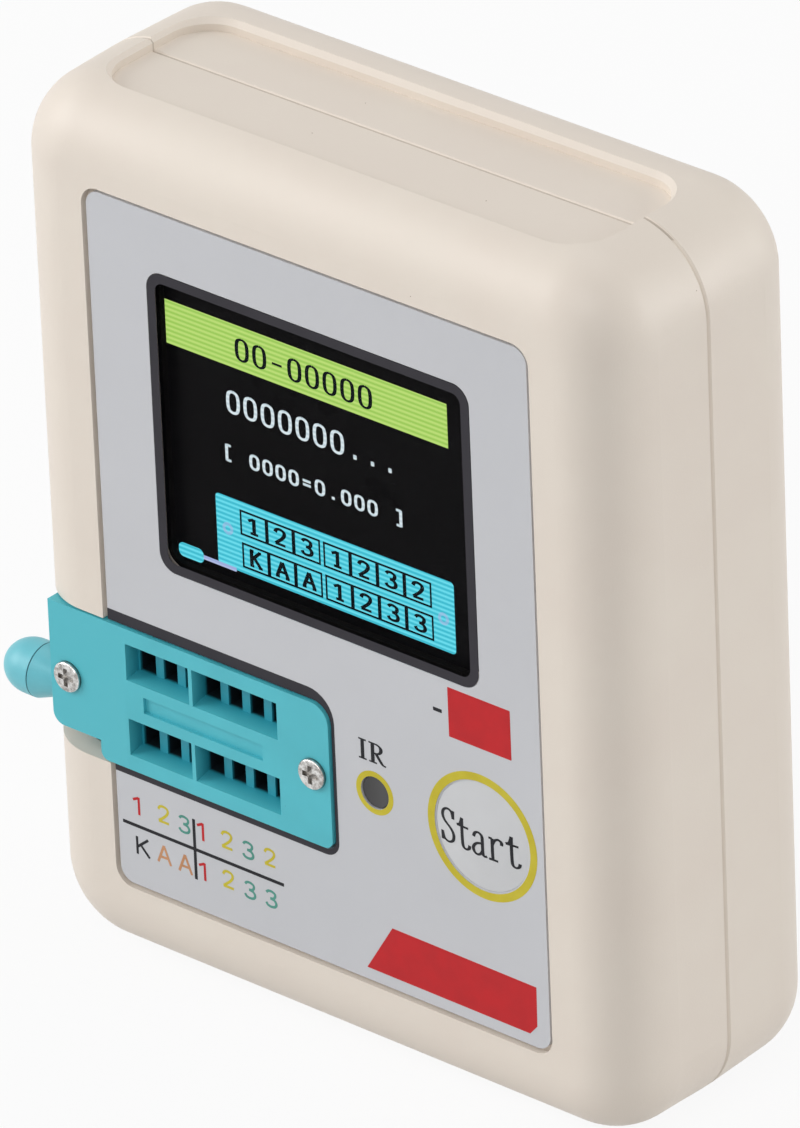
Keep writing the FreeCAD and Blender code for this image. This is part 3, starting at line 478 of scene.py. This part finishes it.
# Left edge and middle height of each row, in mm from the picture's lower left corner.
cell_groups = [("upper_left", "123", 7.68, 6.07), ("upper_right", "1232", 17.33, 6.07),
               ("lower_left", "KAA", 7.78, 2.82), ("lower_right", "1233", 17.43, 2.82)]
for group, figures, first, rise in cell_groups:
    holder = bpy.data.objects.new("cells", bpy.data.meshes.new("cells"))
    bpy.context.scene.collection.objects.link(holder)
    modifier = holder.modifiers.new("cells", "NODES")
    modifier.node_group = cell_tree
    modifier[cell_inputs["Cells"]] = len(figures)
    modifier[cell_inputs["Pitch"]] = cell_pitch
    modifier[cell_inputs["Width"]] = cell_pitch - cell_line
    modifier[cell_inputs["Height"]] = cell_height - cell_line
    modifier[cell_inputs["Line"]] = cell_line * math.sqrt(2)  # unmitred corners narrow the sweep
    modifier[cell_inputs["Skin"]] = picture_skin
    modifier[cell_inputs["Dots"]] = dark_dots
    bpy.context.view_layer.update()
    mesh = bpy.data.meshes.new_from_object(holder.evaluated_get(bpy.context.evaluated_depsgraph_get()))
    bpy.data.objects.remove(holder)
    first_x = picture_left + first * mm + cell_pitch / 2
    row_z = picture_base + rise * mm
    mesh.transform(Matrix.Rotation(math.radians(90), 4, "X"))
    mesh.transform(Matrix.Translation((first_x, picture_y - picture_skin / 2, row_z)))
    cells = bpy.data.objects.new("screen_cells_" + group, mesh)
    bpy.context.scene.collection.objects.link(cells)
    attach(cells, "case")
    middle_x = first_x + (len(figures) - 1) / 2 * cell_pitch
    strokes = row_of(figures, middle_x, row_z, cell_pitch, 1.32 * mm, 1.5 * mm, True)
    pen("screen_cell_figures_" + group, strokes, 0.42 * mm, 0.26 * mm, figure_y, picture_y, dark_dots)

# Screen window
# A clear hard-coated pane let into the overlay over the display, with a dark border printed on
# its face and bloomed against reflections.
window_low, window_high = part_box("screen_window")
clear_pane = surface("clear_pane", linear(40, 40, 44), linear(30, 30, 34), 0.08,
                     20 * mm, 1.0 * mm, 0.0002 * mm, specular=0.05)
clear_pane.node_tree.nodes["Principled BSDF"].inputs["Alpha"].default_value = 0.04
dress(clear_pane, "screen_window")
border_width = 0.95 * mm
print_skin = 0.012 * mm
border_ink = surface("border_ink", linear(50, 48, 54), linear(44, 42, 48), 0.5,
                     3 * mm, 0.1 * mm, 0.003 * mm, specular=0.2)
window_edge = rounded(window_low.x, window_high.x, window_low.z, window_high.z, 1.8 * mm)
window_inner = rounded(window_low.x + border_width, window_high.x - border_width,
                       window_low.z + border_width, window_high.z - border_width, 0.95 * mm)
sheet("window_border", window_edge, window_inner, window_low.y - print_skin, window_low.y,
      border_ink)

# Front overlay
# A thin polycarbonate sheet glued into a recess of the front, grey on its face, with a dark
# surround printed round the test socket and open towards the left edge of the sheet.
overlay_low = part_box("front_overlay")[0]
cover_low, cover_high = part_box("socket_cover")
overlay_film = surface("overlay_film", linear(201, 202, 206), linear(198, 199, 203), 0.42,
                       18 * mm, 0.22 * mm, 0.005 * mm)
dress(overlay_film, "front_overlay")
ink_y = overlay_low.y - print_skin
socket_gap = 0.2 * mm
outer_right = cover_high.x + 0.55 * mm
outer_low = cover_low.z - 0.8 * mm
outer_high = cover_high.z + 1.32 * mm
hole_right = cover_high.x + socket_gap
hole_low = cover_low.z - socket_gap
hole_high = cover_high.z + socket_gap
outer_corner = 1.6 * mm
high_corner = 2.9 * mm
hole_corner = 1.2 * mm
hole_high_corner = 2.1 * mm
surround = [(overlay_low.x, outer_low)]
surround += arc(outer_right - outer_corner, outer_low + outer_corner, outer_corner, -90, 0)
surround += arc(outer_right - high_corner, outer_high - high_corner, high_corner, 0, 90)
surround += [(overlay_low.x, outer_high), (overlay_low.x, hole_high)]
surround += arc(hole_right - hole_high_corner, hole_high - hole_high_corner, hole_high_corner, 90, 0)
surround += arc(hole_right - hole_corner, hole_low + hole_corner, hole_corner, 0, -90)
surround += [(overlay_low.x, hole_low)]
sheet("socket_surround", surround, None, ink_y, overlay_low.y, border_ink)

# Pin chart
# Two crossed lines with figures and letters in five inks, screen-printed on the overlay under
# the socket to number its contacts.
chart_inks = {}
for ink_name, light, dark in (("black_ink", linear(30, 30, 35), linear(24, 24, 29)),
                              ("red_ink", linear(196, 38, 43), linear(188, 34, 39)),
                              ("yellow_ink", linear(204, 190, 60), linear(196, 180, 48)),
                              ("green_ink", linear(88, 154, 140), linear(76, 142, 128)),
                              ("orange_ink", linear(204, 150, 110), linear(194, 140, 100))):
    chart_inks[ink_name] = surface(ink_name, light, dark, 0.5, 2 * mm, 0.1 * mm, 0.003 * mm,
                                   specular=0.2)
black_ink = chart_inks["black_ink"]
red_ink = chart_inks["red_ink"]
yellow_ink = chart_inks["yellow_ink"]
chart_line = 0.34 * mm
chart_x = overlay_low.x + 9.1 * mm
chart_z = overlay_low.z + 6.16 * mm
chart_left = overlay_low.x + 0.55 * mm
chart_right = overlay_low.x + 19.6 * mm
chart_reach = 3.1 * mm
line_left, line_right = chart_x - chart_line / 2, chart_x + chart_line / 2
line_low, line_high = chart_z - chart_line / 2, chart_z + chart_line / 2
for name, *sides in (("across", chart_left, chart_right, line_low, line_high),
                     ("upper", line_left, line_right, line_high, chart_z + chart_reach),
                     ("lower", line_left, line_right, chart_z - chart_reach, line_low)):
    sheet("chart_line_" + name, rounded(*sides, crisp_corner), None, ink_y, overlay_low.y, black_ink)
# Places in mm, across from the overlay's left edge and up from the level line.
chart_figures = {"black": [("K", 2.8, -2.0)], "orange": [("A", 5.35, -1.9), ("A", 7.85, -1.95)],
                 "red": [("1", 2.5, 2.12), ("1", 10.1, 2.12), ("1", 10.1, -1.98)],
                 "yellow": [("2", 5.5, 2.3), ("2", 13.0, 2.3), ("2", 18.05, 2.3), ("2", 12.95, -1.75)],
                 "green": [("3", 7.95, 2.12), ("3", 15.5, 2.12), ("3", 15.5, -1.98), ("3", 18.0, -1.98)]}
chart_sizes = {"1": (1.38, 1.82), "2": (1.38, 1.6), "3": (1.38, 1.6), "A": (1.56, 1.82), "K": (1.85, 1.82)}
for ink_name, figures in chart_figures.items():
    strokes = []
    for character, x, rise in figures:
        width, height = chart_sizes[character]
        strokes += row_of(character, overlay_low.x + x * mm, chart_z + rise * mm, 0,
                          width * mm, height * mm)
    pen("chart_" + ink_name, strokes, 0.27 * mm, 0.25 * mm, ink_y, overlay_low.y,
        chart_inks[ink_name + "_ink"])

# Plain red fields
# A label block with a dash before it, and a strip with cut corners at the lower right, printed
# on the overlay in one solid ink.
label_left = overlay_low.x + 39.8 * mm
label_low = overlay_low.z + 28.3 * mm
label_right = label_left + 7.1 * mm
label_high = label_low + 4.95 * mm
sheet("label_block", rounded(label_left, label_right, label_low, label_high, 0.08 * mm), None,
      ink_y, overlay_low.y, red_ink)
dash_left = overlay_low.x + 38.06 * mm
dash_low = overlay_low.z + 30.35 * mm
dash_right = dash_left + 1.0 * mm
dash_high = dash_low + 0.36 * mm
sheet("label_dash", rounded(dash_left, dash_right, dash_low, dash_high, crisp_corner), None,
      ink_y, overlay_low.y, black_ink)
# Corners in mm from the overlay's lower left corner.
strip = [(29.1, 1.2), (47.9, 1.15), (48.75, 2.15), (48.8, 6.15), (32.25, 6.25)]
sheet("label_strip", [(overlay_low.x + x * mm, overlay_low.z + z * mm) for x, z in strip], None,
      ink_y, overlay_low.y, red_ink)

# Infrared receiver
# A receiver block on the board whose dark lens fills a small hole in the front, with a yellow
# ring and a short name printed round it.
ir_low, ir_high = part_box("ir_receiver")
ir_x = (ir_low.x + ir_high.x) / 2
ir_z = (ir_low.z + ir_high.z) / 2


def shade_along(material, axis, start, end, colour):
    """Blends the finish into another colour between two places along an axis."""
    tree = material.node_tree
    place = tree.nodes.new("ShaderNodeTexCoord")
    axes = tree.nodes.new("ShaderNodeSeparateXYZ")
    tree.links.new(place.outputs["Object"], axes.inputs["Vector"])
    reach = tree.nodes.new("ShaderNodeMapRange")
    reach.inputs["From Min"].default_value = start
    reach.inputs["From Max"].default_value = end
    tree.links.new(axes.outputs[axis], reach.inputs["Value"])
    lay_over(material, reach.outputs["Result"], colour)


def circle(x, z, diameter):
    """Outline of a full circle in the plane of the front."""
    return arc(x, z, diameter / 2, 0, 360, 72)[:-1]


ir_resin = surface("ir_resin", linear(46, 45, 46), linear(38, 37, 38), 0.3,
                   1.2 * mm, 0.15 * mm, 0.006 * mm)
# Painted light on the lens: darker at its left, where the edge of the hole shades it, with a painted
# highlight towards its right.
shade_along(ir_resin, "X", ir_x - 0.9 * mm, ir_x + 0.7 * mm, linear(62, 61, 62))
dress(ir_resin, "ir_receiver")
lens_edge = circle(ir_x, ir_z, 3.22 * mm)
sheet("ir_ring", circle(ir_x, ir_z, 4.3 * mm), lens_edge, ink_y, overlay_low.y, yellow_ink)
capital_i = [[(0.5, 0.02), (0.5, 0.98)], [(0.1, 0.975), (0.9, 0.975)], [(0.1, 0.025), (0.9, 0.025)]]
capital_r = [[(0.24, 0.02), (0.24, 0.98)], [(0.02, 0.975), (0.24, 0.975)], [(0.02, 0.025), (0.46, 0.025)],
             [(0.24, 0.975), (0.5, 0.965), (0.7, 0.86), (0.71, 0.66), (0.54, 0.52), (0.24, 0.5)],
             [(0.44, 0.5), (0.6, 0.28), (0.8, 0.05), (0.99, 0.015)]]
name_left = overlay_low.x + 29.07 * mm
name_base = overlay_low.z + 22.57 * mm
name_height = 2.0 * mm
letters = (placed(capital_i, name_left, name_base, 1.1 * mm, name_height)
           + placed(capital_r, name_left + 1.25 * mm, name_base, 2.0 * mm, name_height))
pen("ir_name", letters, 0.4 * mm, 0.15 * mm, ink_y, overlay_low.y, black_ink)

# Start button
# A satin disc, slightly crowned, that stands a little proud of the overlay inside a printed
# yellow ring, with a soft seal round it. Its word is printed on the face.
button_low, button_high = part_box("start_button")
button_x = (button_low.x + button_high.x) / 2
button_z = (button_low.z + button_high.z) / 2
button_face = 10.6 * mm
button_crown = 0.35 * mm
button_satin = surface("button_satin", linear(206, 207, 209), linear(201, 202, 204), 0.38,
                       8 * mm, 0.2 * mm, 0.004 * mm)
dress(button_satin, "start_button")
ring_outer, ring_inner = (circle(button_x, button_z, across) for across in (12.5 * mm, 10.92 * mm))
sheet("button_ring", ring_outer, ring_inner, ink_y, overlay_low.y, yellow_ink)
seal_outer, seal_inner = (circle(button_x, button_z, across) for across in (10.88 * mm, 10.64 * mm))
seal_front = overlay_low.y + 0.06 * mm
seal_back = overlay_low.y + 0.2 * mm
sheet("button_seal", seal_outer, seal_inner, seal_front, seal_back, overlay_film)
letter_s = [[(0.86, 0.98), (0.86, 0.74)], [(0.1, 0.28), (0.1, 0.02)],
            [(0.86, 0.78), (0.76, 0.93), (0.5, 0.985), (0.22, 0.91), (0.14, 0.76), (0.28, 0.61),
             (0.66, 0.46), (0.87, 0.3), (0.82, 0.11), (0.52, 0.015), (0.22, 0.07), (0.1, 0.24)]]
letter_t = [[(0.42, 0.9), (0.42, 0.3), (0.46, 0.08), (0.64, 0.02), (0.84, 0.07), (0.9, 0.17)],
            [(0.08, 0.66), (0.84, 0.66)], [(0.42, 0.9), (0.3, 0.72), (0.08, 0.66)]]
letter_a = [[(0.14, 0.52), (0.24, 0.64), (0.46, 0.68), (0.66, 0.62), (0.7, 0.48), (0.7, 0.12),
             (0.78, 0.03), (0.96, 0.05)],
            [(0.7, 0.4), (0.32, 0.34), (0.1, 0.2), (0.16, 0.06), (0.36, 0.015), (0.58, 0.08), (0.7, 0.18)]]
letter_r = [[(0.28, 0.66), (0.28, 0.02)], [(0.06, 0.655), (0.28, 0.655)], [(0.04, 0.025), (0.6, 0.025)],
            [(0.28, 0.46), (0.42, 0.61), (0.66, 0.68), (0.86, 0.63), (0.86, 0.54)]]
word_left = button_x - 4.78 * mm
word_base = button_z - 1.86 * mm
word_height = 3.42 * mm
word_pitch = 1.86 * mm
letter_width = 1.78 * mm
word = []
for index, letter in enumerate((letter_s, letter_t, letter_a, letter_r, letter_t)):
    word += placed(letter, word_left + index * word_pitch, word_base, letter_width, word_height)
word_skin = 0.02 * mm
button_word = pen("button_word", word, 0.34 * mm, 0.2 * mm, button_low.y - word_skin, button_low.y,
                  black_ink, "button")
for vertex in button_word.data.vertices:
    share = math.hypot(vertex.co.x - button_x, vertex.co.z - button_z) / (button_face / 2)
    vertex.co.y += button_crown * share * share

# Test socket
# Glass-filled nylon in teal: a body on the board, a sliding plate and a cover with sloped lead-in
# wells, held by two screws, over forked bronze contacts. Shade is painted into its colour: darker down the
# wells, and black in the slots and on the slider seen through them.
socket_nylon = surface("socket_nylon", linear(82, 191, 204), linear(76, 184, 197), 0.46,
                       6 * mm, 0.14 * mm, 0.008 * mm)
spot(socket_nylon, linear(58, 150, 160), size=0.1 * mm, share=0.03)
dress(socket_nylon, "socket_base")
cover_nylon = socket_nylon.copy()
cover_nylon.name = "cover_nylon"
well_top = cover_low.y + 0.2 * mm
well_floor = cover_low.y + 1.7 * mm
# Painted shade: the cover darkens down the wells and turns black deeper in the slots.
shade_along(cover_nylon, "Y", well_top, well_floor, linear(40, 152, 170))
shade_along(cover_nylon, "Y", well_floor, well_floor + 0.35 * mm, linear(14, 26, 32))
wells_left = cover_low.x + 9.0 * mm
shade_start = wells_left - 0.4 * mm
# Left of the wells the painted shade gives way to the plain teal again.
shade_along(cover_nylon, "X", wells_left, shade_start, linear(80, 188, 201))
dress(cover_nylon, "socket_cover")
slide_nylon = socket_nylon.copy()
slide_nylon.name = "slide_nylon"
# Painted shade: the slider turns black under the wells, where it is seen through the slots.
shade_along(slide_nylon, "X", shade_start, wells_left, linear(14, 24, 30))
dress(slide_nylon, "socket_slider")
contact_bronze = surface("contact_bronze", linear(120, 104, 76), linear(96, 82, 56), 0.4,
                         0.8 * mm, 0.1 * mm, 0.006 * mm, metallic=1.0)
dress(contact_bronze, "socket_contacts")
screw_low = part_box("socket_cover_screws")[0]
cover_screw_steel = surface("cover_screw_steel", linear(226, 225, 223), linear(158, 154, 150), 0.22,
                            0.4 * mm, 0.08 * mm, 0.02 * mm, metallic=1.0)
head_y, cross_y = screw_low.y + 0.1 * mm, screw_low.y + 0.45 * mm
# Painted shade: the steel darkens from the face of the head down into the cross recess and towards its rim.
shade_along(cover_screw_steel, "Y", head_y, cross_y, linear(84, 78, 72))
dress(cover_screw_steel, "socket_cover_screws")

# Lever of the test socket
# A bent steel rod, plated, that turns the slider's cam, with a moulded teal knob pressed on its
# end. A darker line is drawn round the knob at its parting line.
lever_steel = surface("lever_steel", linear(206, 206, 204), linear(180, 180, 178), 0.24,
                      1.2 * mm, 0.12 * mm, 0.006 * mm, metallic=1.0)
dress(lever_steel, "socket_lever")
knob_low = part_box("lever_knob")[0]
knob_plastic = surface("knob_plastic", linear(114, 198, 211), linear(106, 191, 204), 0.4,
                       3 * mm, 0.14 * mm, 0.006 * mm)
parting_x = knob_low.x + 4.25 * mm
line_across(knob_plastic, "X", parting_x, 0.14 * mm, linear(78, 136, 148))
dress(knob_plastic, "lever_knob")

# Floor, light and camera
# A wide pale floor that is white to the eye and still takes a soft shadow, large soft lamps
# and a long lens at the viewing angle of the picture.
def seen_ray(tree):
    """1 for a ray from the camera, a reflection or a clear pane, and 0 for one that gives light."""
    path = tree.nodes.new("ShaderNodeLightPath").outputs
    direct = math_node(tree, "MAXIMUM", path["Is Camera Ray"], path["Is Glossy Ray"])
    return math_node(tree, "MAXIMUM", direct, path["Is Transmission Ray"])


floor_grey = 0.78
floor_white_share = 0.91
floor_material = bpy.data.materials.new("floor_paper")
floor_material.use_nodes = True
floor_tree = floor_material.node_tree
floor_shader = floor_tree.nodes["Principled BSDF"]
floor_shader.inputs["Base Color"].default_value = (floor_grey, floor_grey, floor_grey, 1.0)
floor_shader.inputs["Roughness"].default_value = 0.9
floor_shader.inputs["Specular IOR Level"].default_value = 0.1
floor_white = floor_tree.nodes.new("ShaderNodeEmission")
floor_share = math_node(floor_tree, "MULTIPLY", seen_ray(floor_tree), floor_white_share)
floor_mix = floor_tree.nodes.new("ShaderNodeMixShader")
floor_tree.links.new(floor_share, floor_mix.inputs["Fac"])
floor_tree.links.new(floor_shader.outputs["BSDF"], floor_mix.inputs[1])
floor_tree.links.new(floor_white.outputs["Emission"], floor_mix.inputs[2])
floor_tree.links.new(floor_mix.outputs["Shader"], floor_tree.nodes["Material Output"].inputs["Surface"])
floor_reach = 4.0
floor_mesh = bpy.data.meshes.new("floor")
floor_mesh.from_pydata([(-floor_reach, -floor_reach, 0), (floor_reach, -floor_reach, 0),
                        (floor_reach, floor_reach, 0), (-floor_reach, floor_reach, 0)], [], [(0, 1, 2, 3)])
floor_mesh.materials.append(floor_material)
floor = bpy.data.objects.new("floor", floor_mesh)
bpy.context.scene.collection.objects.link(floor)

world_light, world_seen = 0.24, 1.0
world = bpy.data.worlds.new("studio")
world.use_nodes = True
world_tree = world.node_tree
world_tree.nodes["Background"].inputs["Color"].default_value = (1.0, 1.0, 1.0, 1.0)
world_level = world_tree.nodes.new("ShaderNodeMapRange")
world_level.inputs["To Min"].default_value = world_light
world_level.inputs["To Max"].default_value = world_seen
world_tree.links.new(seen_ray(world_tree), world_level.inputs["Value"])
world_tree.links.new(world_level.outputs["Result"], world_tree.nodes["Background"].inputs["Strength"])
bpy.context.scene.world = world

aim = Vector((0.0, 0.0, 0.045))
lamps = [("left", (-1.1, -0.75, 0.6), 0.9, 11.0), ("front", (0.5, -1.2, 1.2), 0.9, 8.9),
         ("side", (1.1, 0.9, 0.35), 0.6, 8.0), ("top", (-0.1, 0.35, 1.4), 0.9, 4.0)]
for title, place, size, power in lamps:
    lamp_data = bpy.data.lights.new(title, "AREA")
    lamp_data.size = size
    lamp_data.energy = power
    lamp = bpy.data.objects.new(title, lamp_data)
    lamp.location = place
    lamp.rotation_euler = (aim - Vector(place)).to_track_quat("-Z", "Y").to_euler()
    bpy.context.scene.collection.objects.link(lamp)

camera_data = bpy.data.cameras.new("camera")
camera_data.sensor_fit = "HORIZONTAL"
camera_data.sensor_width = 36.0
camera_data.lens = 635.68
camera = bpy.data.objects.new("camera", camera_data)
camera_offset = Vector((0.72164, -0.79662, 0.64538))
camera_turn = (60.952, 2.081, 40.620)
camera.location = Vector((case_x, case_low.y, case_low.z)) + camera_offset
camera.rotation_euler = [math.radians(angle) for angle in camera_turn]
bpy.context.scene.collection.objects.link(camera)
bpy.context.scene.camera = camera
bpy.context.scene.view_settings.view_transform = "Standard"
